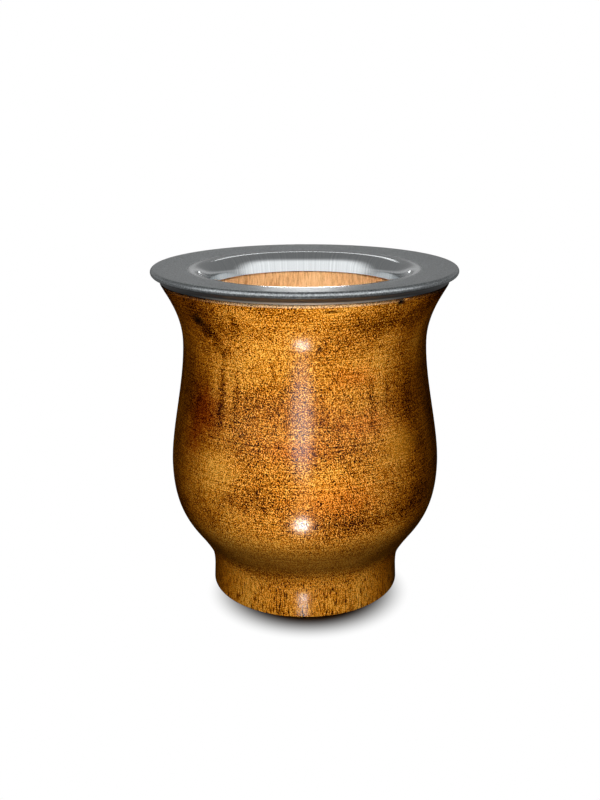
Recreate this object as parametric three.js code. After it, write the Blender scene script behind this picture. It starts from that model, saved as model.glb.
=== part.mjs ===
// A mate cup: a turned hardwood body with a spun stainless steel collar bonded over its lip.
// Millimetres and degrees, +Z up, with the origin at the middle of the standing face.
// Every piece is a revolve, so the outlines below are drawn in a half plane of radius and height.

import * as THREE from "three";

// Overall sizes
const HEIGHT = 100; // standing face to the top of the rim
const MOUTH_DIAMETER = 56.4; // clear opening at the throat's lower edge

// Steel collar, spun in one piece from sheet
const SHEET = 0.8; // sheet thickness
const FLANGE_WIDTH = 16.8; // throat's lower edge to the rim's outer edge
const FLANGE_FALL = 3.8; // slope of the flange down towards the mouth
const MOUTH_BEND = 4.2; // inside bend radius of the roll from the flange into the throat
const THROAT_LENGTH = 1.7; // straight wall below the roll
const THROAT_TAPER = 10; // how far that wall leans in from upright
const RIM_BEND = 0.2; // inside bend radius of the rim's corner
const RIM_TURN = 65; // how far the rim is turned under, past upright
const SKIRT_DROP = 3.6; // top of the rim to the skirt's lower edge
const SKIRT_SETBACK = 2.6; // rim's outer edge to the skirt's lower edge

// Turned body, outside
const FOOT_DIAMETER = 58.2;
const FOOT_HEIGHT = 4.9; // straight side of the foot
const FOOT_TAPER = 0.2; // how much slimmer the foot's top is, on the radius
const FOOT_EDGE = 0.5; // rounding of the foot's lower edge
const STAND_WIDTH = 7; // flat ring that the cup stands on
const FOOT_HOLLOW = 0.8; // dishing of the underside inside that ring
const COVE_RISE = 12; // height of the cove between the foot and the belly
const COVE_REACH = 3.8; // how far the cove runs out from the foot
const COVE_ANGLE = 57; // slope at which the cove meets the belly
const BELLY_HEIGHT = 40.2; // standing face to the widest line
const BELLY_BULGE = 4.6; // how far the belly stands out from the waist
const WAIST_DROP = 17.9; // lip shoulder down to the narrowest line
const WAIST_WALL = 6.8; // wood between the waist and the bore
const FLARE_ANGLE = 68; // slope at which the flare meets the collar
const LIP_BEVEL = 0.3; // eased edge of the lip under the skirt
const LIP_REVEAL = 0.1; // how far the lip stays inside the skirt's face

// Turned body, inside
const FLOOR_THICKNESS = 22; // wood under the middle of the cavity
const BOWL_DEPTH = 24; // height of the rounded bottom

// How far each sweep of the outside keeps its end slopes, as shares of its own chord
const COVE_EASE = 0.45;
const UNDERSIDE_EASE = 0.24;
const BELLY_EASE_BELOW = 0.58;
const BELLY_EASE_ABOVE = 0.28;
const WAIST_EASE_BELOW = 0.33;
const WAIST_EASE_ABOVE = 0.48;
const LIP_EASE = 0.12;

// Fits between the pieces
const CLEARANCE = 0.3; // collar to wood, at the roll and at the skirt's edge
const BED_THICKNESS = 1; // adhesive between the lip's top and the flange
const BED_SKIN = 0.1; // cured adhesive to what it bonds
const BED_REACH = 0.55; // share of the skirt that the adhesive runs down behind

// Largest distance between a facet and the true curve
const CHORD_ERROR = 0.06;

function radians(degrees) {
  return THREE.MathUtils.degToRad(degrees);
}

function point(radius, height) {
  return new THREE.Vector2(radius, height);
}

function heading(degrees) {
  return point(Math.cos(radians(degrees)), Math.sin(radians(degrees)));
}

function line(start, end) {
  return new THREE.LineCurve(start, end);
}

// An arc about a centre, from one angle down to another
function bend(centre, radius, startAngle, endAngle) {
  const start = radians(startAngle);
  const end = radians(endAngle);
  return new THREE.EllipseCurve(centre.x, centre.y, radius, radius, start, end, true);
}

// A sweep that leaves its start and meets its end at given slopes
function sweep(start, startAngle, startEase, end, endAngle, endEase) {
  const chord = start.distanceTo(end);
  const startHandle = start.clone().addScaledVector(heading(startAngle), startEase * chord);
  const endHandle = end.clone().addScaledVector(heading(endAngle), -endEase * chord);
  return new THREE.CubicBezierCurve(start, startHandle, endHandle, end);
}

// The point under a sheet's face: the face lies on the left of the curve's travel
function beneath(curve, share, depth) {
  const along = curve.getTangent(share);
  return curve.getPoint(share).add(point(along.y, -along.x).multiplyScalar(depth));
}

// The largest distance from a curve to its chords, for a number of equal steps
function chordError(curve, steps) {
  let error = 0;
  for (let step = 0; step < steps; step += 1) {
    const start = curve.getPoint(step / steps);
    const chord = curve.getPoint((step + 1) / steps).sub(start);
    const middle = curve.getPoint((step + 0.5) / steps).sub(start);
    error = Math.max(error, Math.abs(chord.cross(middle)) / chord.length());
  }
  return error;
}

function stepsFor(curve) {
  let steps = 1;
  if (curve instanceof THREE.LineCurve) {
    return steps;
  }
  do {
    steps += 1;
  } while (chordError(curve, steps) > CHORD_ERROR);
  return steps;
}

// Points along a chain of curves that join end to end, at a depth under their face
function trace(curves, depth = 0) {
  const points = [];
  for (const curve of curves) {
    const steps = stepsFor(curve);
    const first = points.length === 0 ? 0 : 1;
    for (let step = first; step <= steps; step += 1) {
      points.push(beneath(curve, step / steps, depth));
    }
  }
  return points;
}

// Outline of the collar's visible face, from the throat over the flange and down the skirt

const mouthRadius = MOUTH_DIAMETER / 2;
const rimRadius = mouthRadius + FLANGE_WIDTH;
const mouthRoll = MOUTH_BEND + SHEET;
const rimRound = RIM_BEND + SHEET;
const flangeNormal = 90 + FLANGE_FALL;

const throatHeading = heading(90 - THROAT_TAPER);
const throatLean = THROAT_LENGTH * throatHeading.x;

const rimCentre = point(rimRadius - rimRound, HEIGHT - rimRound);
const rollRadius = mouthRadius + throatLean + mouthRoll * throatHeading.y;
const rollToRim = rimCentre.x - rollRadius;
const rollDrop = mouthRoll - rimRound + rollToRim * Math.sin(radians(FLANGE_FALL));
const rollCentre = point(rollRadius, rimCentre.y - rollDrop / Math.cos(radians(FLANGE_FALL)));

const roll = bend(rollCentre, mouthRoll, 180 - THROAT_TAPER, flangeNormal);
const throatEdge = roll.getPoint(0).addScaledVector(throatHeading, -THROAT_LENGTH);
const rim = bend(rimCentre, rimRound, flangeNormal, 0);
const tuck = bend(rimCentre, rimRound, 0, -RIM_TURN);
const throat = line(throatEdge, roll.getPoint(0));
const flange = line(roll.getPoint(1), rim.getPoint(0));

const skirtTop = tuck.getPoint(1);
const skirtEdge = point(rimRadius - SKIRT_SETBACK, HEIGHT - SKIRT_DROP);
const skirtHeading = heading(-90 - RIM_TURN);
const skirtChord = skirtEdge.clone().sub(skirtTop);
const skirtPull = skirtChord.lengthSq() / (2 * skirtChord.dot(skirtHeading));
const skirtControl = skirtTop.clone().addScaledVector(skirtHeading, skirtPull);
const skirt = new THREE.QuadraticBezierCurve(skirtTop, skirtControl, skirtEdge);

function collarOutline() {
  const face = [throat, roll, flange, rim, tuck, skirt];
  const outline = [...trace(face, SHEET), ...trace(face).reverse()];
  outline.push(outline[0].clone());
  return outline;
}

// Seats that the collar sets on the wood: the bore, the lip's top, the spigot and the shoulder

const boreRadius = rollCentre.x - MOUTH_BEND + CLEARANCE;
const spigotRadius = beneath(skirt, 1, SHEET).x - CLEARANCE;
const shoulderHeight = skirtEdge.y - CLEARANCE;
const lipRadius = skirtEdge.x - LIP_REVEAL;

function lipTop(radius) {
  const start = flange.getPoint(0);
  const face = start.y + (radius - start.x) * Math.tan(radians(FLANGE_FALL));
  return face - SHEET / Math.cos(radians(FLANGE_FALL)) - BED_THICKNESS;
}

// Outline of the wood, from the middle of the underside, up the outside, over the lip and
// down the bore to the middle of the cavity's floor

function bodyOutside() {
  const footRadius = FOOT_DIAMETER / 2;
  const waistRadius = boreRadius + WAIST_WALL;
  const standInner = point(footRadius - FOOT_EDGE - STAND_WIDTH, 0);
  const standOuter = point(footRadius - FOOT_EDGE, 0);
  const footEdgeTop = point(footRadius, FOOT_EDGE);
  const footTop = point(footRadius - FOOT_TAPER, FOOT_HEIGHT);
  const coveTop = point(footTop.x + COVE_REACH, FOOT_HEIGHT + COVE_RISE);
  const belly = point(waistRadius + BELLY_BULGE, BELLY_HEIGHT);
  const waist = point(waistRadius, shoulderHeight - WAIST_DROP);
  const lipEdge = point(lipRadius, shoulderHeight - LIP_BEVEL);

  const hollowTop = point(0, FOOT_HOLLOW);
  const hollowControl = point(standInner.x / 2, FOOT_HOLLOW);
  const footCorner = point(footRadius, 0);
  return [
    new THREE.QuadraticBezierCurve(hollowTop, hollowControl, standInner),
    line(standInner, standOuter),
    new THREE.QuadraticBezierCurve(standOuter, footCorner, footEdgeTop),
    line(footEdgeTop, footTop),
    sweep(footTop, 90, COVE_EASE, coveTop, COVE_ANGLE, COVE_EASE),
    sweep(coveTop, COVE_ANGLE, UNDERSIDE_EASE, belly, 90, BELLY_EASE_BELOW),
    sweep(belly, 90, BELLY_EASE_ABOVE, waist, 90, WAIST_EASE_BELOW),
    sweep(waist, 90, WAIST_EASE_ABOVE, lipEdge, FLARE_ANGLE, LIP_EASE),
    line(lipEdge, point(lipRadius - LIP_BEVEL, shoulderHeight)),
  ];
}

function bodyLip() {
  const shoulder = point(lipRadius - LIP_BEVEL, shoulderHeight);
  const spigotFoot = point(spigotRadius, shoulderHeight);
  const spigotTop = point(spigotRadius, lipTop(spigotRadius));
  const rounding = new THREE.EllipseCurve(
    rollCentre.x,
    rollCentre.y,
    rollCentre.x - boreRadius,
    lipTop(rollCentre.x) - rollCentre.y,
    Math.PI / 2,
    Math.PI,
  );
  return [
    line(shoulder, spigotFoot),
    line(spigotFoot, spigotTop),
    line(spigotTop, rounding.getPoint(0)),
    rounding,
  ];
}

function bodyInside() {
  const boreTop = point(boreRadius, rollCentre.y);
  const bowlTop = point(boreRadius, FLOOR_THICKNESS + BOWL_DEPTH);
  const bowl = new THREE.EllipseCurve(0, bowlTop.y, boreRadius, BOWL_DEPTH, 0, -Math.PI / 2, true);
  return [line(boreTop, bowlTop), bowl];
}

function bodyOutline() {
  return trace([...bodyOutside(), ...bodyLip(), ...bodyInside()]);
}

// Outline of the adhesive: a film under the flange that fills the pocket behind the skirt

function bedOutline() {
  const depth = SHEET + BED_SKIN;
  const skirtSteps = stepsFor(skirt);
  const pocket = [];
  for (let step = 0; step <= skirtSteps; step += 1) {
    pocket.push(beneath(skirt, BED_REACH * (1 - step / skirtSteps), depth));
  }
  const spigotFace = spigotRadius + BED_SKIN;
  const innerEnd = beneath(flange, 0, depth);
  return [
    point(innerEnd.x, lipTop(innerEnd.x) + BED_SKIN),
    point(spigotFace, lipTop(spigotFace) + BED_SKIN),
    point(spigotFace, pocket[0].y),
    ...pocket,
    beneath(flange, 1, depth),
    innerEnd,
    point(innerEnd.x, lipTop(innerEnd.x) + BED_SKIN),
  ];
}

// The revolve takes as many turns as the rim needs to stay within the chord error
function revolve(outline) {
  const turn = 2 * Math.acos(1 - CHORD_ERROR / rimRadius);
  const quarter = Math.ceil(Math.PI / 2 / turn);
  const geometry = new THREE.LatheGeometry(outline, 4 * quarter);
  geometry.rotateX(Math.PI / 2);
  return geometry;
}

function piece(name, outline, material) {
  const mesh = new THREE.Mesh(revolve(outline), material);
  mesh.name = name;
  return mesh;
}

// Stained and varnished hardwood outside, satin steel, and clear cured adhesive
const wood = new THREE.MeshStandardMaterial({ color: 0xa8743e, roughness: 0.35, metalness: 0 });
const steel = new THREE.MeshStandardMaterial({ color: 0xb4b8b8, roughness: 0.3, metalness: 1 });
const adhesive = new THREE.MeshStandardMaterial({ color: 0xd9cfae, roughness: 0.5, metalness: 0 });

const cup = new THREE.Group();
cup.name = "mate_cup";
cup.add(piece("turned_body", bodyOutline(), wood));
cup.add(piece("adhesive_bed", bedOutline(), adhesive));
cup.add(piece("steel_collar", collarOutline(), steel));

export default cup;
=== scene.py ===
import math

import bpy
from mathutils import Matrix, Vector


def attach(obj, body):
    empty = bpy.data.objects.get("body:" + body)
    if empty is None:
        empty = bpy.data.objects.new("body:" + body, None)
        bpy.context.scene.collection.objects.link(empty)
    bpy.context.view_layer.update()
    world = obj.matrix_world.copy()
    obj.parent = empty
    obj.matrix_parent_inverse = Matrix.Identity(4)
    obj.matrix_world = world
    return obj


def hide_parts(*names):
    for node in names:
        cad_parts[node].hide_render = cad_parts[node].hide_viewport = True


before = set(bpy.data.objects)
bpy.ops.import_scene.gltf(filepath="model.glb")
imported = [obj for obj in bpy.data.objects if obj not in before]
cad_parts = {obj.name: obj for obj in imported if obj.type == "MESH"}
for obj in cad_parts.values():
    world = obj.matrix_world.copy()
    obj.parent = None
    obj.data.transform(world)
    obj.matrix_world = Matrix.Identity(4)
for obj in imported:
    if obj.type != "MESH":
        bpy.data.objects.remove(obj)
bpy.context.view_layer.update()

# Turned body: one block of open-pored hardwood with its grain upright, turned on a lathe to a foot, a cove,
# a round belly, a waist and a flaring lip. It is stained and varnished outside, and bored out and left bare
# inside. The top is cut back to a spigot that the steel collar sits on.
MM = 0.001
FOOT_RADIUS = 29.1
FOOT_EDGE = 0.5
FOOT_TOP = Vector((28.9, 4.9))
STAND_INNER = 21.6
FOOT_HOLLOW = 0.8
COVE_TOP = Vector((32.7, 16.9))
COVE_ANGLE = 57
BELLY = Vector((40.92, 40.2))
WAIST = Vector((36.32, 78.2))
LIP_EDGE = Vector((42.3, 95.8))
FLARE_ANGLE = 68
SHOULDER = Vector((42.0, 96.1))
SPIGOT_FOOT = Vector((41.4, 96.1))
SPIGOT_TOP = Vector((41.4, 98.03))
LIP_INNER = Vector((33.42, 97.5))
BORE_TOP = Vector((29.52, 94.29))
BOWL_TOP = Vector((29.52, 46.0))
BOWL_FLOOR = 22.0
BARE_WITHIN = 34.0
BARE_ABOVE = 21.0
CHIP_AT = Vector((26.1, -33.3, 95.5))
CHIP_RADIUS = 1.5
CHIP_DEPTH = 1.1


def heading(angle):
    """Unit direction in the outline's plane, in degrees from straight outward."""
    return Vector((math.cos(math.radians(angle)), math.sin(math.radians(angle))))


def straight(start, end):
    """A straight stretch of outline. Its handles coincide with its ends."""
    return (start, start, end, end)


def sweep(start, start_angle, start_ease, end, end_angle, end_ease):
    """A smooth stretch that leaves and arrives at given slopes, held to them by a share of its chord."""
    chord = (end - start).length
    leave = start + heading(start_angle) * start_ease * chord
    arrive = end - heading(end_angle) * end_ease * chord
    return (start, leave, arrive, end)


def rounded(centre, across, up, start_angle, end_angle):
    """A stretch of circle or ellipse, in degrees, of up to a quarter turn or so."""
    turn = math.radians(end_angle - start_angle)
    pull = 4 / 3 * math.tan(turn / 4)
    start = Vector((across * heading(start_angle).x, up * heading(start_angle).y))
    end = Vector((across * heading(end_angle).x, up * heading(end_angle).y))
    leave = Vector((-across * heading(start_angle).y, up * heading(start_angle).x)) * pull
    arrive = Vector((-across * heading(end_angle).y, up * heading(end_angle).x)) * pull
    return (centre + start, centre + start + leave, centre + end - arrive, centre + end)


def outline_curve(name, stretches, steps):
    """Draws an outline as one curve in the XZ plane, with radius along X, in metres."""
    curve = bpy.data.curves.new(name, "CURVE")
    curve.dimensions = "3D"
    curve.resolution_u = steps
    knots = curve.splines.new("BEZIER").bezier_points
    knots.add(len(stretches))
    for knot in knots:
        knot.handle_left_type = "FREE"
        knot.handle_right_type = "FREE"
    for before, after, (start, leave, arrive, end) in zip(knots, knots[1:], stretches):
        for place, point in (("co", start), ("handle_right", leave)):
            setattr(before, place, Vector((point.x, 0, point.y)) * MM)
        for place, point in (("co", end), ("handle_left", arrive)):
            setattr(after, place, Vector((point.x, 0, point.y)) * MM)
        if leave == start and arrive == end:
            before.handle_right_type = "VECTOR"
            after.handle_left_type = "VECTOR"
    knots[0].handle_left = knots[0].co
    knots[-1].handle_right = knots[-1].co
    return bpy.data.objects.new(name, curve)


def add_node(tree, kind, feeds=None, **settings):
    """Adds a node with its settings. Feeds are values, or the sockets that link to its inputs."""
    node = tree.nodes.new(kind)
    for name, value in settings.items():
        setattr(node, name, value)
    for key, value in (feeds or {}).items():
        if isinstance(value, bpy.types.NodeSocket):
            tree.links.new(value, node.inputs[key])
        else:
            node.inputs[key].default_value = value
    return node


def lathe_tree():
    """Turns an outline about the upright axis. Faces inside a radius and above a height are inner ones."""
    tree = bpy.data.node_groups.new("lathe", "GeometryNodeTree")
    inputs = (
        ("Blank", "NodeSocketGeometry"),
        ("Outline", "NodeSocketObject"),
        ("Segments", "NodeSocketInt"),
        ("Crease Angle", "NodeSocketFloat"),
        ("Finish", "NodeSocketMaterial"),
        ("Inner Finish", "NodeSocketMaterial"),
        ("Inner Radius", "NodeSocketFloat"),
        ("Inner Height", "NodeSocketFloat"),
    )
    for name, kind in inputs:
        tree.interface.new_socket(name, in_out="INPUT", socket_type=kind)
    tree.interface.new_socket("Turned", in_out="OUTPUT", socket_type="NodeSocketGeometry")
    given = add_node(tree, "NodeGroupInput").outputs

    # Rows of a grid follow the outline, and its columns go once round
    drawn = add_node(tree, "GeometryNodeObjectInfo", {"Object": given["Outline"]}, transform_space="ORIGINAL")
    points = add_node(
        tree, "GeometryNodeCurveToPoints", {"Curve": drawn.outputs["Geometry"]}, mode="EVALUATED"
    ).outputs["Points"]
    count = add_node(
        tree, "GeometryNodeAttributeDomainSize", {"Geometry": points}, component="POINTCLOUD"
    ).outputs["Point Count"]
    columns = add_node(tree, "ShaderNodeMath", {0: given["Segments"], 1: 1.0}, operation="ADD").outputs[0]
    grid = add_node(
        tree, "GeometryNodeMeshGrid", {"Vertices X": columns, "Vertices Y": count}
    ).outputs["Mesh"]
    index = add_node(tree, "GeometryNodeInputIndex").outputs[0]
    row = add_node(tree, "ShaderNodeMath", {0: index, 1: count}, operation="MODULO").outputs[0]
    share = add_node(tree, "ShaderNodeMath", {0: index, 1: count}, operation="DIVIDE").outputs[0]
    column = add_node(tree, "ShaderNodeMath", {0: share}, operation="FLOOR").outputs[0]
    step = add_node(
        tree, "ShaderNodeMath", {0: math.tau, 1: given["Segments"]}, operation="DIVIDE"
    ).outputs[0]
    turn = add_node(tree, "ShaderNodeMath", {0: column, 1: step}, operation="MULTIPLY").outputs[0]
    place = add_node(tree, "GeometryNodeInputPosition").outputs[0]
    drawn_at = add_node(
        tree,
        "GeometryNodeSampleIndex",
        {"Geometry": points, "Value": place, "Index": row},
        data_type="FLOAT_VECTOR",
    ).outputs[0]
    turned_at = add_node(
        tree, "ShaderNodeVectorRotate", {"Vector": drawn_at, "Angle": turn}, rotation_type="Z_AXIS"
    ).outputs[0]
    turned = add_node(tree, "GeometryNodeSetPosition", {"Geometry": grid, "Position": turned_at}).outputs[0]
    closed = add_node(tree, "GeometryNodeMergeByDistance", {"Geometry": turned, "Distance": 1e-6}).outputs[0]

    # Smooth all over but for true corners
    smooth = add_node(
        tree, "GeometryNodeSetShadeSmooth", {0: closed, "Shade Smooth": True}, domain="FACE"
    ).outputs[0]
    bend = add_node(tree, "GeometryNodeInputMeshEdgeAngle").outputs["Unsigned Angle"]
    corner = add_node(
        tree, "ShaderNodeMath", {0: bend, 1: given["Crease Angle"]}, operation="GREATER_THAN"
    ).outputs[0]
    creased = add_node(
        tree,
        "GeometryNodeSetShadeSmooth",
        {0: smooth, "Selection": corner, "Shade Smooth": False},
        domain="EDGE",
    ).outputs[0]

    # Inside and outside finishes
    flat = add_node(tree, "ShaderNodeVectorMath", {0: place, 1: (1, 1, 0)}, operation="MULTIPLY").outputs[0]
    radius = add_node(tree, "ShaderNodeVectorMath", {0: flat}, operation="LENGTH").outputs["Value"]
    height = add_node(tree, "ShaderNodeSeparateXYZ", {0: place}).outputs["Z"]
    within = add_node(
        tree, "ShaderNodeMath", {0: radius, 1: given["Inner Radius"]}, operation="LESS_THAN"
    ).outputs[0]
    above = add_node(
        tree, "ShaderNodeMath", {0: height, 1: given["Inner Height"]}, operation="GREATER_THAN"
    ).outputs[0]
    inner = add_node(tree, "ShaderNodeMath", {0: within, 1: above}, operation="MULTIPLY").outputs[0]
    real = add_node(tree, "GeometryNodeRealizeInstances", {0: creased}).outputs[0]
    outer = add_node(tree, "GeometryNodeSetMaterial", {0: real, "Material": given["Finish"]}).outputs[0]
    both = add_node(
        tree, "GeometryNodeSetMaterial", {0: outer, "Selection": inner, "Material": given["Inner Finish"]}
    ).outputs[0]
    add_node(tree, "NodeGroupOutput", {0: both})
    return tree


def turn_piece(name, outline, sizes):
    """Turns an outline on the lathe into a plain mesh. Sizes are the tree's other inputs by name."""
    piece = bpy.data.objects.new(name, bpy.data.meshes.new(name))
    for thing in (outline, piece):
        bpy.context.scene.collection.objects.link(thing)
    lathe = piece.modifiers.new("lathe", "NODES")
    lathe.node_group = LATHE
    sockets = {s.name: s.identifier for s in LATHE.interface.items_tree if s.in_out == "INPUT"}
    lathe[sockets["Outline"]] = outline
    for size, value in sizes.items():
        lathe[sockets[size]] = value
    ready = piece.evaluated_get(bpy.context.evaluated_depsgraph_get())
    mesh = bpy.data.meshes.new_from_object(ready)
    piece.modifiers.remove(lathe)
    piece.data = mesh
    mesh.name = name
    used = [slot for slot in mesh.materials if slot]
    picked = [used.index(mesh.materials[face.material_index]) for face in mesh.polygons]
    mesh.materials.clear()
    for finish in used:
        mesh.materials.append(finish)
    mesh.polygons.foreach_set("material_index", picked)
    bpy.data.objects.remove(outline)
    return piece


def colour(code):
    """An sRGB hex colour as the linear one that a socket takes."""
    shares = [int(code[at : at + 2], 16) / 255 for at in (1, 3, 5)]
    return [s / 12.92 if s <= 0.04045 else ((s + 0.055) / 1.055) ** 2.4 for s in shares] + [1.0]


PITH = (3.0, 34.0)
RING_WIDTH = 4.4
PORE_WIDTH = 0.34
PORE_LENGTH = 2.6
DRIFT_WIDTH = 30.0
DRIFT_LENGTH = 55.0
DRIFT = 9.0
FLECK = 0.26


def grain(tree):
    """The grain that runs through the block: growth bands, upright pores and flecks, read in millimetres."""
    place = add_node(tree, "ShaderNodeTexCoord").outputs["Object"]
    mm = add_node(tree, "ShaderNodeVectorMath", {0: place, "Scale": 1000.0}, operation="SCALE").outputs[0]
    drift_grid = (1 / DRIFT_WIDTH, 1 / DRIFT_WIDTH, 1 / DRIFT_LENGTH)
    slow = add_node(tree, "ShaderNodeMapping", {"Vector": mm, "Scale": drift_grid}).outputs[0]
    drift = add_node(
        tree, "ShaderNodeTexNoise", {"Vector": slow, "Scale": 1.0, "Detail": 2.0}
    ).outputs["Color"]
    centred = add_node(
        tree, "ShaderNodeVectorMath", {0: drift, 1: (0.5, 0.5, 0.5)}, operation="SUBTRACT"
    ).outputs[0]
    shift = add_node(tree, "ShaderNodeVectorMath", {0: centred, "Scale": DRIFT}, operation="SCALE").outputs[0]
    fibre = add_node(tree, "ShaderNodeVectorMath", {0: mm, 1: shift}, operation="ADD").outputs[0]

    across = add_node(
        tree,
        "ShaderNodeVectorMath",
        {0: fibre, 1: (1, 1, 0.06), 2: (-PITH[0], -PITH[1], 0)},
        operation="MULTIPLY_ADD",
    ).outputs[0]
    age = add_node(tree, "ShaderNodeVectorMath", {0: across}, operation="LENGTH").outputs["Value"]
    rings = add_node(tree, "ShaderNodeMath", {0: age, 1: RING_WIDTH}, operation="DIVIDE").outputs[0]
    growth = add_node(
        tree,
        "ShaderNodeTexNoise",
        {"W": rings, "Scale": 1.0, "Detail": 2.0, "Roughness": 0.6},
        noise_dimensions="1D",
    ).outputs["Fac"]

    pore_grid = (1 / PORE_WIDTH, 1 / PORE_WIDTH, 1 / PORE_LENGTH)
    stretched = add_node(tree, "ShaderNodeMapping", {"Vector": mm, "Scale": pore_grid}).outputs[0]
    pores = add_node(
        tree, "ShaderNodeTexNoise", {"Vector": stretched, "Scale": 1.0, "Detail": 1.0, "Roughness": 0.5}
    ).outputs["Fac"]
    fleck_grid = (1 / FLECK, 1 / FLECK, 0.9 / FLECK)
    small = add_node(tree, "ShaderNodeMapping", {"Vector": mm, "Scale": fleck_grid}).outputs[0]
    flecks = add_node(
        tree, "ShaderNodeTexNoise", {"Vector": small, "Scale": 1.0, "Detail": 1.0, "Roughness": 0.6}
    ).outputs["Fac"]
    return mm, growth, pores, flecks


CLOUD_WIDTH = 30.0
CLOUD_HEIGHT = 14.0
LATHE_LINES_PER_MM = 1.6
RAGS_PER_MM = 0.5
FOOT_GRAIN = 9.0
BODY_GRAIN = 16.0


def varnished_wood():
    """Stained hardwood under varnish. The eye sees gold and brown bands, dark flecks and a broken gloss."""
    material = bpy.data.materials.new("varnished hardwood")
    material.use_nodes = True
    tree = material.node_tree
    mm, growth, pores, flecks = grain(tree)
    axes = add_node(tree, "ShaderNodeSeparateXYZ", {0: mm}).outputs
    height = axes["Z"]
    flat = add_node(tree, "ShaderNodeVectorMath", {0: mm, 1: (1, 1, 0)}, operation="MULTIPLY").outputs[0]
    level = add_node(tree, "ShaderNodeVectorMath", {0: flat}, operation="NORMALIZE").outputs[0]
    across = add_node(tree, "ShaderNodeSeparateXYZ", {0: level}).outputs["X"]
    aside = add_node(tree, "ShaderNodeMath", {0: across}, operation="ABSOLUTE").outputs[0]
    side = add_node(
        tree,
        "ShaderNodeMapRange",
        {0: aside, 1: 0.45, 2: 0.95, 3: 0.0, 4: 1.0},
        interpolation_type="SMOOTHSTEP",
    ).outputs[0]

    # How pale the wood is at a point. Each layer has a weight on the body and another on the foot, where
    # upright pores show more than flecks
    cloud_grid = (1 / CLOUD_WIDTH, 1 / CLOUD_WIDTH, 1 / CLOUD_HEIGHT)
    broad = add_node(tree, "ShaderNodeMapping", {"Vector": mm, "Scale": cloud_grid}).outputs[0]
    clouds = add_node(
        tree, "ShaderNodeTexNoise", {"Vector": broad, "Scale": 1.0, "Detail": 3.0}
    ).outputs["Fac"]
    dark_pores = add_node(tree, "ShaderNodeMath", {0: pores, 1: 0.5}, operation="MINIMUM").outputs[0]
    lathe_lines = add_node(
        tree,
        "ShaderNodeTexNoise",
        {"W": height, "Scale": LATHE_LINES_PER_MM, "Detail": 1.0},
        noise_dimensions="1D",
    ).outputs["Fac"]
    layers = (
        (flecks, 9.6, 6.0),
        (dark_pores, 3.4, 9.0),
        (growth, 1.3, 0.8),
        (clouds, 2.3, 0.6),
        (lathe_lines, 1.3, 0.4),
    )
    pale = 0.5
    plain = add_node(tree, "ShaderNodeMapRange", {0: side, 1: 0.0, 2: 1.0, 3: 1.0, 4: 0.5}).outputs[0]
    for layer, on_body, on_foot in layers:
        weight = add_node(
            tree, "ShaderNodeMapRange", {0: height, 1: BODY_GRAIN, 2: FOOT_GRAIN, 3: on_body, 4: on_foot}
        ).outputs[0]
        weight = add_node(tree, "ShaderNodeMath", {0: weight, 1: plain}, operation="MULTIPLY").outputs[0]
        centred = add_node(tree, "ShaderNodeMath", {0: layer, 1: 0.5}, operation="SUBTRACT").outputs[0]
        pale = add_node(
            tree, "ShaderNodeMath", {0: centred, 1: weight, 2: pale}, operation="MULTIPLY_ADD"
        ).outputs[0]

    # Painted light and shade: the foot is painted paler, as light, and the sides are painted darker,
    # as shade, most of all as a shadow under the collar
    foot = add_node(
        tree,
        "ShaderNodeMapRange",
        {0: height, 1: BODY_GRAIN, 2: FOOT_GRAIN, 3: 0.05, 4: 0.6},
        interpolation_type="SMOOTHSTEP",
    ).outputs[0]
    pale = add_node(tree, "ShaderNodeMath", {0: pale, 1: foot}, operation="ADD").outputs[0]
    # Painted shade on the sides, deepest as a painted shadow under the collar
    side_shade_depth = add_node(
        tree,
        "ShaderNodeMapRange",
        {0: height, 1: 84.0, 2: 95.0, 3: -0.3, 4: -0.75},
        interpolation_type="SMOOTHSTEP",
    ).outputs[0]
    pale = add_node(tree, "ShaderNodeMath", {0: side, 1: side_shade_depth, 2: pale}, operation="MULTIPLY_ADD").outputs[0]

    # The body unrolled, in millimetres round from the front and up
    front = add_node(tree, "ShaderNodeMath", {0: axes["Y"], 1: -1.0}, operation="MULTIPLY").outputs[0]
    turn = add_node(tree, "ShaderNodeMath", {0: axes["X"], 1: front}, operation="ARCTAN2").outputs[0]
    around = add_node(tree, "ShaderNodeMath", {0: turn, 1: WAIST.x + 2}, operation="MULTIPLY").outputs[0]
    unrolled = add_node(tree, "ShaderNodeCombineXYZ", {0: around, 1: height}).outputs[0]
    ragged = add_node(
        tree, "ShaderNodeTexNoise", {"Vector": mm, "Scale": RAGS_PER_MM, "Detail": 3.0}
    ).outputs["Fac"]

    def patch(spot, reach, strength):
        """How much of a mark shows, from its middle and reach in millimetres round from the front and up."""
        away = add_node(
            tree, "ShaderNodeVectorMath", {0: unrolled, 1: (*spot, 0)}, operation="SUBTRACT"
        ).outputs[0]
        share = add_node(
            tree, "ShaderNodeVectorMath", {0: away, 1: (*reach, 1)}, operation="DIVIDE"
        ).outputs[0]
        far = add_node(tree, "ShaderNodeVectorMath", {0: share}, operation="LENGTH").outputs["Value"]
        edge = add_node(
            tree, "ShaderNodeMath", {0: ragged, 1: 0.8, 2: far}, operation="MULTIPLY_ADD"
        ).outputs[0]
        return add_node(
            tree,
            "ShaderNodeMapRange",
            {0: edge, 1: 0.5, 2: 1.4, 3: strength, 4: 0.0},
            interpolation_type="SMOOTHSTEP",
        ).outputs[0]
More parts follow.
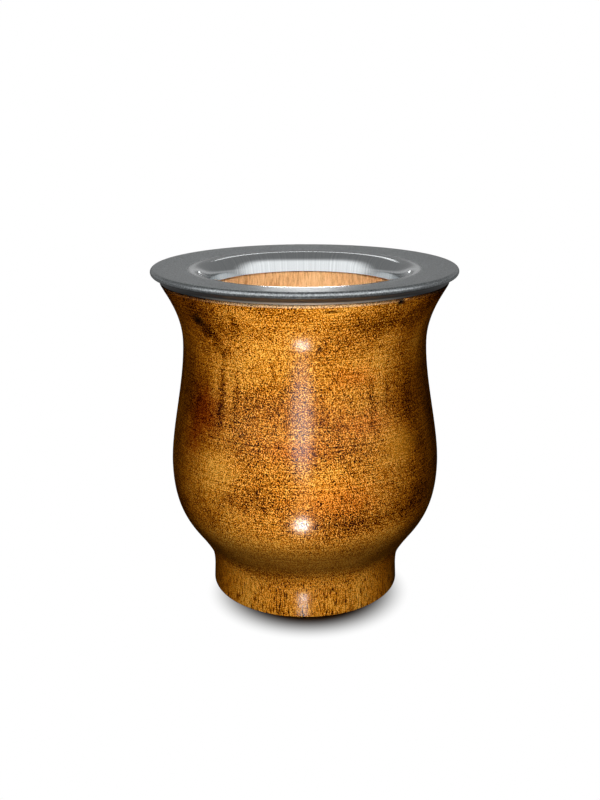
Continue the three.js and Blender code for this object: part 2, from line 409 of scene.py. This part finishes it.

    # Gold and brown areas of this block, the tail of its knot and its dark veins. One patch is painted
    # light on the front of the flare
    for spot, reach, shift in (
        ((-14, 81), (16, 8), 0.25),
        ((14, 80), (10, 8), 0.2),
        ((-25, 46), (14, 11), 0.85),
        ((-12, 36), (16, 6), 0.4),
        ((28, 55), (10, 7), 0.25),
        ((0, 66), (24, 6), -0.15),
        ((18, 34), (17, 5), -0.45),
        ((27, 45), (12, 6), -0.35),
        ((31, 36), (10, 8), -0.6),
        # Painted light: lightens the front of the flare
        ((0, 89), (13, 8), 0.4),
        ((36, 68), (8, 12), -0.4),
        ((22, 90), (15, 6), -0.5),
        ((-33, 63), (11, 12), -0.4),
        ((-30, 89), (14, 8), -0.7),
        ((-29.2, 86), (3.4, 3.2), -1.0),
        ((-26.6, 83.4), (3.2, 3), -0.9),
        ((-23.8, 80.8), (3, 2.8), -0.8),
        ((-18.8, 90), (2.2, 5), -0.6),
        ((-25.2, 69), (2, 16), -1.1),
        ((-20.2, 70), (1.8, 11), -0.7),
        ((19.6, 68), (1.8, 12), -0.7),
        ((25, 68), (1.6, 9), -0.45),
        ((9, 62), (7, 2.2), -0.5),
        ((-9, 76), (1.6, 5), -0.6),
    ):
        near = patch(spot, reach, shift)
        pale = add_node(tree, "ShaderNodeMath", {0: pale, 1: near}, operation="ADD").outputs[0]

    tone = add_node(tree, "ShaderNodeMapRange", {0: pale, 1: -0.7, 2: 1.7, 3: 0.0, 4: 1.0}).outputs[0]
    tones = add_node(tree, "ShaderNodeValToRGB", {0: tone})
    steps = tones.color_ramp.elements
    steps[0].color = colour("#1A0700")
    steps[1].color = colour("#FFC456")
    for stop, shade in ((0.25, "#602803"), (0.5, "#B6670E"), (0.7, "#DE8415"), (0.85, "#F09C28")):
        steps.new(stop).color = colour(shade)
    wood = tones.outputs[0]

    # Where the stain took red
    for spot, reach, strength, shade in (
        ((14, 75), (12, 5), 0.35, "#F0A070"),
        ((17, 62), (14, 5), 0.3, "#EE9A5C"),
        ((-2, 56), (16, 5), 0.4, "#E8A878"),
        ((8, 42), (18, 8), 0.4, "#F0A868"),
        ((-33, 63), (11, 12), 0.75, "#B85A30"),
        ((-36, 54), (7, 8), 0.5, "#C07040"),
        ((0, 66), (20, 7), 0.3, "#D8AC98"),
    ):
        near = patch(spot, reach, strength)
        wood = add_node(
            tree,
            "ShaderNodeMix",
            {0: near, 6: wood, 7: colour(shade)},
            data_type="RGBA",
            blend_type="MULTIPLY",
        ).outputs[2]

    # Marks of this block: a knot, a plain gold area, a worm hole, a crack and a chip under the collar
    marks = (
        ((-32.3, 89), (4, 2.6), 0.95, "#180A03"),
        ((29, 54), (10, 6), 0.35, "#D68A1E"),
        ((4, 83.6), (0.9, 0.9), 1.0, "#241004"),
        ((6.3, 94.3), (3.4, 0.55), 0.9, "#351404"),
        ((25.2, 95.3), (2.4, 1.3), 1.0, "#0E0602"),
    )
    for spot, reach, strength, shade in marks:
        near = patch(spot, reach, strength)
        wood = add_node(
            tree, "ShaderNodeMix", {0: near, 6: wood, 7: colour(shade)}, data_type="RGBA"
        ).outputs[2]

    # The cove is painted darker: painted shade under the belly, with some stain
    low = add_node(
        tree,
        "ShaderNodeMapRange",
        {0: height, 1: 12.0, 2: 18.0, 3: 0.0, 4: 0.72},
        interpolation_type="SMOOTHSTEP",
    ).outputs[0]
    high = add_node(
        tree,
        "ShaderNodeMapRange",
        {0: height, 1: 33.0, 2: 22.0, 3: 0.0, 4: 1.0},
        interpolation_type="SMOOTHSTEP",
    ).outputs[0]
    cove_shade_and_stain = add_node(tree, "ShaderNodeMath", {0: low, 1: high}, operation="MULTIPLY").outputs[0]
    wood = add_node(
        tree, "ShaderNodeMix", {0: cove_shade_and_stain, 6: wood, 7: colour("#5E3A0C")}, data_type="RGBA"
    ).outputs[2]

    # The turned edge under the collar is bare in places; the pale line fades towards the sides as painted
    # shade
    rim = add_node(
        tree,
        "ShaderNodeMapRange",
        {0: height, 1: LIP_EDGE.y - 0.5, 2: LIP_EDGE.y - 0.1, 3: 0.0, 4: 1.0},
        interpolation_type="SMOOTHSTEP",
    ).outputs[0]
    worn = add_node(
        tree,
        "ShaderNodeMapRange",
        {0: flecks, 1: 0.42, 2: 0.55, 3: 0.1, 4: 0.7},
        interpolation_type="SMOOTHSTEP",
    ).outputs[0]
    bared = add_node(tree, "ShaderNodeMath", {0: rim, 1: worn}, operation="MULTIPLY").outputs[0]
    front_light_on_bare_edge = add_node(
        tree,
        "ShaderNodeMapRange",
        {0: aside, 1: 0.35, 2: 0.7, 3: 1.0, 4: 0.1},
        interpolation_type="SMOOTHSTEP",
    ).outputs[0]
    bared = add_node(tree, "ShaderNodeMath", {0: bared, 1: front_light_on_bare_edge}, operation="MULTIPLY").outputs[0]
    wood = add_node(
        tree, "ShaderNodeMix", {0: bared, 6: wood, 7: colour("#F4D6A8")}, data_type="RGBA"
    ).outputs[2]

    # The varnish is thin, so its gloss shows face on and gives way to the stain towards the edges. It is
    # rubbed away on the flare and low on the foot: how much is left goes by the share of the height
    facing = add_node(tree, "ShaderNodeLayerWeight", {"Blend": 0.5}).outputs["Facing"]
    gloss = add_node(
        tree,
        "ShaderNodeMapRange",
        {0: facing, 1: 0.1, 2: 0.4, 3: 0.46, 4: 0.0},
        interpolation_type="SMOOTHSTEP",
    ).outputs[0]
    up = add_node(tree, "ShaderNodeMath", {0: height, 1: LIP_EDGE.y}, operation="DIVIDE").outputs[0]
    film = add_node(tree, "ShaderNodeValToRGB", {0: up})
    coats = film.color_ramp.elements
    coats[0].color = (0.15, 0.15, 0.15, 1.0)
    coats[1].color = (0.3, 0.3, 0.3, 1.0)
    for stop, left in (
        (0.03, 0.15),
        (0.045, 0.3),
        (0.075, 0.35),
        (0.1, 1.0),
        (0.15, 1.0),
        (0.2, 0.9),
        (0.33, 0.9),
        (0.5, 0.75),
        (0.62, 1.0),
        (0.74, 0.8),
        (0.8, 0.4),
        (0.9, 0.7),
    ):
        coats.new(stop).color = (left, left, left, 1.0)
    gloss = add_node(tree, "ShaderNodeMath", {0: gloss, 1: film.outputs[0]}, operation="MULTIPLY").outputs[0]
    bump = add_node(
        tree, "ShaderNodeBump", {"Height": flecks, "Strength": 0.12, "Distance": 0.0002}
    ).outputs[0]
    shader = tree.nodes["Principled BSDF"]
    tree.links.new(wood, shader.inputs["Base Color"])
    tree.links.new(bump, shader.inputs["Normal"])
    tree.links.new(bump, shader.inputs["Coat Normal"])
    tree.links.new(gloss, shader.inputs["Coat Weight"])
    shader.inputs["Roughness"].default_value = 0.6
    shader.inputs["Specular IOR Level"].default_value = 0.0
    shader.inputs["Coat Roughness"].default_value = 0.17
    return material


def bare_wood():
    """The same wood unfinished inside the cup: pale and matt, with a light bump from its pores."""
    material = bpy.data.materials.new("bare hardwood")
    material.use_nodes = True
    tree = material.node_tree
    growth, pores, flecks = grain(tree)[1:]
    pale = 0.5
    for layer, weight in ((flecks, 1.0), (pores, 1.6), (growth, 1.0)):
        centred = add_node(tree, "ShaderNodeMath", {0: layer, 1: 0.5}, operation="SUBTRACT").outputs[0]
        pale = add_node(
            tree, "ShaderNodeMath", {0: centred, 1: weight, 2: pale}, operation="MULTIPLY_ADD"
        ).outputs[0]
    tones = add_node(tree, "ShaderNodeValToRGB", {0: pale})
    steps = tones.color_ramp.elements
    steps[0].color = colour("#B87F4C")
    steps[1].color = colour("#FBD09A")
    steps.new(0.5).color = colour("#EAB67C")
    bump = add_node(
        tree, "ShaderNodeBump", {"Height": pores, "Strength": 0.15, "Distance": 0.0002}
    ).outputs[0]
    shader = tree.nodes["Principled BSDF"]
    tree.links.new(tones.outputs[0], shader.inputs["Base Color"])
    tree.links.new(bump, shader.inputs["Normal"])
    shader.inputs["Roughness"].default_value = 0.75
    shader.inputs["Specular IOR Level"].default_value = 0.2
    return material


STAND_OUTER = Vector((FOOT_RADIUS - FOOT_EDGE, 0))
FOOT_SIDE = Vector((FOOT_RADIUS, FOOT_EDGE))
LIP_CENTRE = Vector((LIP_INNER.x, BORE_TOP.y))
body_outline = outline_curve(
    "body_outline",
    (
        sweep(Vector((0, FOOT_HOLLOW)), 0, 0.33, Vector((STAND_INNER, 0)), -4, 0.33),
        straight(Vector((STAND_INNER, 0)), STAND_OUTER),
        rounded(STAND_OUTER + Vector((0, FOOT_EDGE)), FOOT_EDGE, FOOT_EDGE, -90, 0),
        straight(FOOT_SIDE, FOOT_TOP),
        sweep(FOOT_TOP, 90, 0.45, COVE_TOP, COVE_ANGLE, 0.45),
        sweep(COVE_TOP, COVE_ANGLE, 0.24, BELLY, 90, 0.58),
        sweep(BELLY, 90, 0.28, WAIST, 90, 0.33),
        sweep(WAIST, 90, 0.48, LIP_EDGE, FLARE_ANGLE, 0.12),
        straight(LIP_EDGE, SHOULDER),
        straight(SHOULDER, SPIGOT_FOOT),
        straight(SPIGOT_FOOT, SPIGOT_TOP),
        straight(SPIGOT_TOP, LIP_INNER),
        rounded(LIP_CENTRE, LIP_INNER.x - BORE_TOP.x, LIP_INNER.y - BORE_TOP.y, 90, 180),
        straight(BORE_TOP, BOWL_TOP),
        rounded(Vector((0, BOWL_TOP.y)), BOWL_TOP.x, BOWL_TOP.y - BOWL_FLOOR, 0, -90),
    ),
    steps=18,
)
LATHE = lathe_tree()
SEGMENTS = 320
CREASE_ANGLE = 35
turned_wood = turn_piece(
    "turned_wood",
    body_outline,
    {
        "Segments": SEGMENTS,
        "Crease Angle": math.radians(CREASE_ANGLE),
        "Finish": varnished_wood(),
        "Inner Finish": bare_wood(),
        "Inner Radius": BARE_WITHIN * MM,
        "Inner Height": BARE_ABOVE * MM,
    },
)
for vertex in turned_wood.data.vertices:
    apart = (vertex.co - CHIP_AT * MM).length / (CHIP_RADIUS * MM)
    if apart < 1:
        outward = Vector((vertex.co.x, vertex.co.y, 0)).normalized()
        vertex.co -= outward * CHIP_DEPTH * MM * (1 - apart * apart)
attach(turned_wood, "root")
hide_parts("turned_body")

# Adhesive bed: a ring of clear glue spread on the lip before the collar goes on. It sets hard under the
# flange and behind the skirt, where it can't be seen, so the solid stays as it is.
HAZE_PER_MM = 0.6


def set_adhesive():
    """Cured clear glue: pale amber and glossy, a little cloudy where air was stirred in."""
    material = bpy.data.materials.new("cured adhesive")
    material.use_nodes = True
    tree = material.node_tree
    place = add_node(tree, "ShaderNodeTexCoord").outputs["Object"]
    mm = add_node(tree, "ShaderNodeVectorMath", {0: place, "Scale": 1000.0}, operation="SCALE").outputs[0]
    haze = add_node(
        tree, "ShaderNodeTexNoise", {"Vector": mm, "Scale": HAZE_PER_MM, "Detail": 2.0}
    ).outputs["Fac"]
    tint = add_node(
        tree, "ShaderNodeMix", {0: haze, 6: colour("#CDBE92"), 7: colour("#E2D8B8")}, data_type="RGBA"
    ).outputs[2]
    shader = tree.nodes["Principled BSDF"]
    tree.links.new(tint, shader.inputs["Base Color"])
    shader.inputs["Roughness"].default_value = 0.35
    return material


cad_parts["adhesive_bed"].material_slots[0].material = set_adhesive()

# Steel collar: one sheet of stainless steel spun to a dished flange that rolls down into the mouth, with its
# rim turned under to a short skirt. It is polished in the throat, satin on the flange and rim, and duller
# on the skirt.
SHEET = 0.8
THROAT_EDGE = Vector((28.2, 93.48))
THROAT_TAPER = 10
ROLL_CENTRE = Vector((33.42, 94.29))
ROLL_ROUND = 5.0
FLANGE_NORMAL = 93.8
RIM_CENTRE = Vector((44.0, 99.0))
RIM_ROUND = 1.0
RIM_TURN = 65
SKIRT_EDGE = Vector((42.4, 96.4))
SKIRT_INSIDE = 40.0
ROLL_START = 34.6
THROAT_START = 33.2
GRITS_PER_MM = 2.4
DRAW_LINES_PER_MM = 1.6


def sheet_face(depth):
    """The stretches of one face of the sheet, from the throat over the flange to the skirt's edge."""
    throat = THROAT_EDGE + heading(-THROAT_TAPER) * depth
    roll = rounded(ROLL_CENTRE, ROLL_ROUND - depth, ROLL_ROUND - depth, 180 - THROAT_TAPER, FLANGE_NORMAL)
    rim = rounded(RIM_CENTRE, RIM_ROUND - depth, RIM_ROUND - depth, FLANGE_NORMAL, 0)
    tuck = rounded(RIM_CENTRE, RIM_ROUND - depth, RIM_ROUND - depth, 0, -RIM_TURN)
    top = RIM_CENTRE + heading(-RIM_TURN) * RIM_ROUND
    chord = SKIRT_EDGE - top
    leave = heading(-90 - RIM_TURN)
    control = top + leave * chord.length_squared / (2 * chord.dot(leave))
    arrive = math.degrees(math.atan2(SKIRT_EDGE.y - control.y, SKIRT_EDGE.x - control.x))
    edge = SKIRT_EDGE + heading(arrive - 90) * depth
    skirt = sweep(tuck[3], -90 - RIM_TURN, 0.36, edge, arrive, 0.36)
    return [straight(throat, roll[0]), roll, straight(roll[3], rim[0]), rim, tuck, skirt]


def spun_steel():
    """Stainless steel spun on a former. The eye sees a satin grey flange with a fine grit, a bright throat
    with faint draw lines, and a dull skirt painted darker as shade, darker still towards the sides, with a
    painted highlight on its cut edge at the front."""
    material = bpy.data.materials.new("spun stainless steel")
    material.use_nodes = True
    tree = material.node_tree
    place = add_node(tree, "ShaderNodeTexCoord").outputs["Object"]
    mm = add_node(tree, "ShaderNodeVectorMath", {0: place, "Scale": 1000.0}, operation="SCALE").outputs[0]
    axes = add_node(tree, "ShaderNodeSeparateXYZ", {0: mm}).outputs
    flat = add_node(tree, "ShaderNodeVectorMath", {0: mm, 1: (1, 1, 0)}, operation="MULTIPLY").outputs[0]
    radius = add_node(tree, "ShaderNodeVectorMath", {0: flat}, operation="LENGTH").outputs["Value"]

    # Where each finish lies: the throat inside the roll, and the skirt below the rim
    throat = add_node(
        tree,
        "ShaderNodeMapRange",
        {0: radius, 1: ROLL_START, 2: THROAT_START, 3: 0.0, 4: 1.0},
        interpolation_type="SMOOTHSTEP",
    ).outputs[0]
    low = add_node(
        tree,
        "ShaderNodeMapRange",
        {0: axes["Z"], 1: RIM_CENTRE.y - 0.1, 2: RIM_CENTRE.y - 0.7, 3: 0.0, 4: 1.0},
        interpolation_type="SMOOTHSTEP",
    ).outputs[0]
    outside = add_node(
        tree, "ShaderNodeMath", {0: radius, 1: SKIRT_INSIDE}, operation="GREATER_THAN"
    ).outputs[0]
    skirt = add_node(tree, "ShaderNodeMath", {0: low, 1: outside}, operation="MULTIPLY").outputs[0]

    # Grit of the satin finish, drawn as coarse as it needs to show, and faint draw lines in the throat
    grit = add_node(
        tree, "ShaderNodeTexNoise", {"Vector": mm, "Scale": GRITS_PER_MM, "Detail": 1.0}
    ).outputs["Fac"]
    turn = add_node(tree, "ShaderNodeMath", {0: axes["X"], 1: axes["Y"]}, operation="ARCTAN2").outputs[0]
    around = add_node(tree, "ShaderNodeMath", {0: turn, 1: THROAT_EDGE.x}, operation="MULTIPLY").outputs[0]
    lines = add_node(
        tree,
        "ShaderNodeTexNoise",
        {"W": around, "Scale": DRAW_LINES_PER_MM, "Detail": 2.0},
        noise_dimensions="1D",
    ).outputs["Fac"]
    relief = add_node(tree, "ShaderNodeMix", {0: throat, 2: grit, 3: lines}, data_type="FLOAT").outputs[0]
    rise = add_node(tree, "ShaderNodeMapRange", {0: throat, 1: 0.0, 2: 1.0, 3: 0.25, 4: 0.08}).outputs[0]
    bump = add_node(
        tree, "ShaderNodeBump", {"Height": relief, "Strength": rise, "Distance": 0.0002}
    ).outputs[0]

    grains = add_node(tree, "ShaderNodeMapRange", {0: grit, 1: 0.3, 2: 0.7, 3: 0.0, 4: 1.0}).outputs[0]
    tone = add_node(
        tree, "ShaderNodeMix", {0: grains, 6: colour("#7C8183"), 7: colour("#BCC1C3")}, data_type="RGBA"
    ).outputs[2]
    drawn = add_node(
        tree, "ShaderNodeMix", {0: lines, 6: colour("#B6BABC"), 7: colour("#D0D3D4")}, data_type="RGBA"
    ).outputs[2]
    tone = add_node(tree, "ShaderNodeMix", {0: throat, 6: tone, 7: drawn}, data_type="RGBA").outputs[2]

    # The skirt is duller than the flange and painted darker as shade under the rim, darkest towards the
    # sides; its cut edge has a painted highlight at the front
    level = add_node(tree, "ShaderNodeVectorMath", {0: flat}, operation="NORMALIZE").outputs[0]
    across = add_node(tree, "ShaderNodeSeparateXYZ", {0: level}).outputs["X"]
    aside = add_node(tree, "ShaderNodeMath", {0: across}, operation="ABSOLUTE").outputs[0]
    skirt_side_shade = add_node(
        tree,
        "ShaderNodeMapRange",
        {0: aside, 1: 0.3, 2: 0.75, 3: 0.0, 4: 1.0},
        interpolation_type="SMOOTHSTEP",
    ).outputs[0]
    skirt_shade = add_node(
        tree, "ShaderNodeMix", {0: skirt_side_shade, 6: colour("#64686A"), 7: colour("#303233")}, data_type="RGBA"
    ).outputs[2]
    tone = add_node(tree, "ShaderNodeMix", {0: skirt, 6: tone, 7: skirt_shade}, data_type="RGBA").outputs[2]
    # Painted highlight on the skirt's cut edge, kept to the front
    lowest = add_node(
        tree,
        "ShaderNodeMapRange",
        {0: axes["Z"], 1: SKIRT_EDGE.y + 0.7, 2: SKIRT_EDGE.y + 0.4, 3: 0.0, 4: 1.0},
        interpolation_type="SMOOTHSTEP",
    ).outputs[0]
    edge = add_node(tree, "ShaderNodeMath", {0: lowest, 1: outside}, operation="MULTIPLY").outputs[0]
    front_light_on_skirt = add_node(tree, "ShaderNodeMath", {0: 1.0, 1: skirt_side_shade}, operation="SUBTRACT").outputs[0]
    edge = add_node(tree, "ShaderNodeMath", {0: edge, 1: front_light_on_skirt}, operation="MULTIPLY").outputs[0]
    tone = add_node(
        tree, "ShaderNodeMix", {0: edge, 6: tone, 7: colour("#D4D2CA")}, data_type="RGBA"
    ).outputs[2]
    rough = add_node(tree, "ShaderNodeMapRange", {0: throat, 1: 0.0, 2: 1.0, 3: 0.3, 4: 0.12}).outputs[0]
    rough = add_node(tree, "ShaderNodeMix", {0: skirt, 2: rough, 3: 0.45}, data_type="FLOAT").outputs[0]
    shader = tree.nodes["Principled BSDF"]
    tree.links.new(tone, shader.inputs["Base Color"])
    tree.links.new(rough, shader.inputs["Roughness"])
    tree.links.new(bump, shader.inputs["Normal"])
    shader.inputs["Metallic"].default_value = 1.0
    return material


shown_face = sheet_face(0)
hidden_face = [tuple(reversed(stretch)) for stretch in reversed(sheet_face(SHEET))]
collar_outline = outline_curve(
    "collar_outline",
    (
        *shown_face,
        straight(shown_face[-1][3], hidden_face[0][0]),
        *hidden_face,
        straight(hidden_face[-1][3], shown_face[0][0]),
    ),
    steps=16,
)
steel = spun_steel()
collar = turn_piece(
    "collar",
    collar_outline,
    {
        "Segments": SEGMENTS,
        "Crease Angle": math.radians(CREASE_ANGLE),
        "Finish": steel,
        "Inner Finish": steel,
        "Inner Radius": 0.0,
        "Inner Height": 0.0,
    },
)
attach(collar, "root")
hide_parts("steel_collar")

# Studio: a pale floor that fades to white, and soft lamps near the camera, overhead and behind.
floor_mesh = bpy.data.meshes.new("floor")
floor_mesh.from_pydata([(-4, -4, 0), (4, -4, 0), (4, 4, 0), (-4, 4, 0)], [], [(0, 1, 2, 3)])
floor = bpy.data.objects.new("floor", floor_mesh)
bpy.context.scene.collection.objects.link(floor)
floor.visible_shadow = False
paper = bpy.data.materials.new("white paper floor")
paper.use_nodes = True
paper.node_tree.nodes.clear()
tree = paper.node_tree
path = add_node(tree, "ShaderNodeLightPath").outputs
clear = add_node(
    tree, "ShaderNodeMath", {0: path["Is Camera Ray"], 1: path["Is Transmission Ray"]}, operation="ADD"
).outputs[0]
seen = add_node(
    tree, "ShaderNodeMath", {0: path["Is Glossy Ray"], 1: 0.2, 2: clear}, operation="MULTIPLY_ADD"
).outputs[0]

# The shadow round the foot is partly cast and partly painted: within a ring, mostly before the foot,
# the paper is a dark grey, and beyond it the paper is white
painted_shadow_shift = (-0.001, 0.01, 0)
painted_shadow_core = 0.0195
painted_shadow_reach = 0.032
place = add_node(tree, "ShaderNodeTexCoord").outputs["Object"]
nearer = add_node(tree, "ShaderNodeVectorMath", {0: place, 1: painted_shadow_shift}, operation="ADD").outputs[0]
away = add_node(tree, "ShaderNodeVectorMath", {0: nearer}, operation="LENGTH").outputs["Value"]
far = add_node(
    tree,
    "ShaderNodeMapRange",
    {0: away, 1: painted_shadow_core, 2: painted_shadow_reach, 3: 0.0, 4: 1.0},
    interpolation_type="SMOOTHSTEP",
).outputs[0]
glow = add_node(tree, "ShaderNodeMath", {0: seen, 1: far}, operation="MULTIPLY").outputs[0]
tint = add_node(
    tree, "ShaderNodeMix", {0: seen, 6: colour("#444444"), 7: colour("#505050")}, data_type="RGBA"
).outputs[2]
matt = add_node(tree, "ShaderNodeBsdfDiffuse", {"Color": tint}).outputs[0]
white = add_node(tree, "ShaderNodeEmission", {"Color": colour("#FFFFFF"), "Strength": 1.0}).outputs[0]
surface = add_node(tree, "ShaderNodeMixShader", {0: glow, 1: matt, 2: white}).outputs[0]
add_node(tree, "ShaderNodeOutputMaterial", {"Surface": surface})
floor_mesh.materials.append(paper)

world = bpy.data.worlds.new("studio")
bpy.context.scene.world = world
world.use_nodes = True
tree = world.node_tree
path = add_node(tree, "ShaderNodeLightPath").outputs
seen = add_node(
    tree, "ShaderNodeMath", {0: path["Is Camera Ray"], 1: path["Is Transmission Ray"]}, operation="ADD"
).outputs[0]

# What the steel mirrors: a grey room behind, brightest low down, and a broad bright panel ahead
way = add_node(tree, "ShaderNodeTexCoord").outputs["Generated"]
lean = add_node(tree, "ShaderNodeSeparateXYZ", {0: way}).outputs
behind = add_node(
    tree,
    "ShaderNodeMapRange",
    {0: lean["Z"], 1: 0.05, 2: 0.11, 3: 0.1, 4: 0.52},
    interpolation_type="SMOOTHSTEP",
).outputs[0]
higher = add_node(
    tree,
    "ShaderNodeMapRange",
    {0: lean["Z"], 1: 0.16, 2: 0.26, 3: 1.0, 4: 0.48},
    interpolation_type="SMOOTHSTEP",
).outputs[0]
behind = add_node(tree, "ShaderNodeMath", {0: behind, 1: higher}, operation="MULTIPLY").outputs[0]
ahead = add_node(
    tree,
    "ShaderNodeMapRange",
    {0: lean["Y"], 1: 0.2, 2: -0.4, 3: 0.0, 4: 1.0},
    interpolation_type="SMOOTHSTEP",
).outputs[0]
below = add_node(
    tree,
    "ShaderNodeMapRange",
    {0: lean["Z"], 1: 0.97, 2: 0.65, 3: 0.0, 4: 1.0},
    interpolation_type="SMOOTHSTEP",
).outputs[0]
panel = add_node(tree, "ShaderNodeMath", {0: ahead, 1: below}, operation="MULTIPLY").outputs[0]
walls = add_node(tree, "ShaderNodeMix", {0: panel, 2: behind, 3: 1.4}, data_type="FLOAT").outputs[0]
mirrored = add_node(
    tree, "ShaderNodeMix", {0: path["Is Glossy Ray"], 2: 0.035, 3: walls}, data_type="FLOAT"
).outputs[0]
level = add_node(tree, "ShaderNodeMix", {0: seen, 2: mirrored, 3: 1.0}, data_type="FLOAT").outputs[0]
tree.links.new(level, tree.nodes["Background"].inputs["Strength"])
tree.nodes["Background"].inputs["Color"].default_value = colour("#FFFFFF")

# Which pieces each lamp can light
lit = {}
for name, pieces in (
    ("cup", (turned_wood, collar)),
    ("wood", (turned_wood,)),
    ("steel", (collar,)),
    ("floor", (floor,)),
):
    lit[name] = bpy.data.collections.new("lit " + name)
    for piece in pieces:
        lit[name].objects.link(piece)

# Lamps: name, place and aim in metres, width and height, spread in degrees, watts, and what they light
lamps = (
    ("strip", (-0.004, -0.115, 0.085), (-0.004, 0, 0.085), (0.03, 0.09), 180, 0.07, "wood"),
    ("low_strip", (0.0, -0.115, 0.02), (0, 0, 0.025), (0.02, 0.04), 180, 0.03, "wood"),
    ("mouth", (0.0, -0.3, 0.3), (0, 0.02, 0.09), (0.22, 0.16), 180, 0.12, "cup"),
    ("inside", (0.0, -0.07, 0.135), (0, 0.03, 0.088), (0.03, 0.03), 50, 0.0085, "wood"),
    ("glint", (-0.012, -0.278, -0.143), (0, 0, 0.05), (0.02, 0.02), 180, 0.6, "wood"),
    ("side", (-0.35, -0.1, 0.12), (0, 0, 0.06), (0.15, 0.15), 180, 0.035, "wood"),
    ("under", (0.0, -0.12, -0.15), (0, -0.043, 0.097), (0.05, 0.06), 180, 0.05, "steel"),
    ("overhead", (0.0, 0.0, 1.0), (0, 0, 0), (0.5, 0.5), 180, 9.0, "floor"),
    ("back", (0.0, 0.7, 0.12), (0, 0, 0.09), (0.08, 0.04), 180, 0.065, "steel"),
    ("high_back", (-0.03, 0.6, 0.47), (0, 0, 0.1), (0.25, 0.05), 180, 0.07, "steel"),
    ("back_left", (-0.1, 0.66, 0.35), (0, 0, 0.05), (0.3, 0.3), 180, 1.6, "cup"),
    ("back_right", (0.1, 0.66, 0.35), (0, 0, 0.05), (0.3, 0.3), 180, 1.6, "cup"),
)
highlights = ("strip", "glint", "under", "back", "high_back")
for name, place, aim, size, spread, power, shown in lamps:
    lamp = bpy.data.lights.new(name, "AREA")
    lamp.shape = "ELLIPSE"
    lamp.size = size[0]
    lamp.size_y = size[1]
    lamp.spread = math.radians(spread)
    lamp.energy = power
    stand = bpy.data.objects.new(name, lamp)
    stand.location = place
    stand.rotation_euler = (Vector(place) - Vector(aim)).to_track_quat("Z", "Y").to_euler()
    stand.visible_camera = False
    stand.visible_glossy = name in highlights
    stand.visible_diffuse = name != "glint"
    stand.light_linking.receiver_collection = lit[shown]
    lamp.cycles.use_multiple_importance_sampling = name != "glint"
    bpy.context.scene.collection.objects.link(stand)

# Camera: at the photograph's height and pitch, with its focal length
camera_at = (0, -0.2778, 0.1434)
camera_pan = 0.3
camera_pitch = 17.02
camera_roll = -0.23
camera = bpy.data.objects.new("camera", bpy.data.cameras.new("camera"))
camera.data.sensor_width = 36.0
camera.data.lens = 42.62
camera.data.clip_start = 0.01
pose = Matrix.Rotation(math.radians(camera_pan), 4, "Z")
pose @= Matrix.Rotation(math.radians(90 - camera_pitch), 4, "X")
pose @= Matrix.Rotation(math.radians(camera_roll), 4, "Z")
camera.matrix_world = Matrix.Translation(camera_at) @ pose
bpy.context.scene.collection.objects.link(camera)
bpy.context.scene.camera = camera
bpy.context.scene.view_settings.view_transform = "Standard"
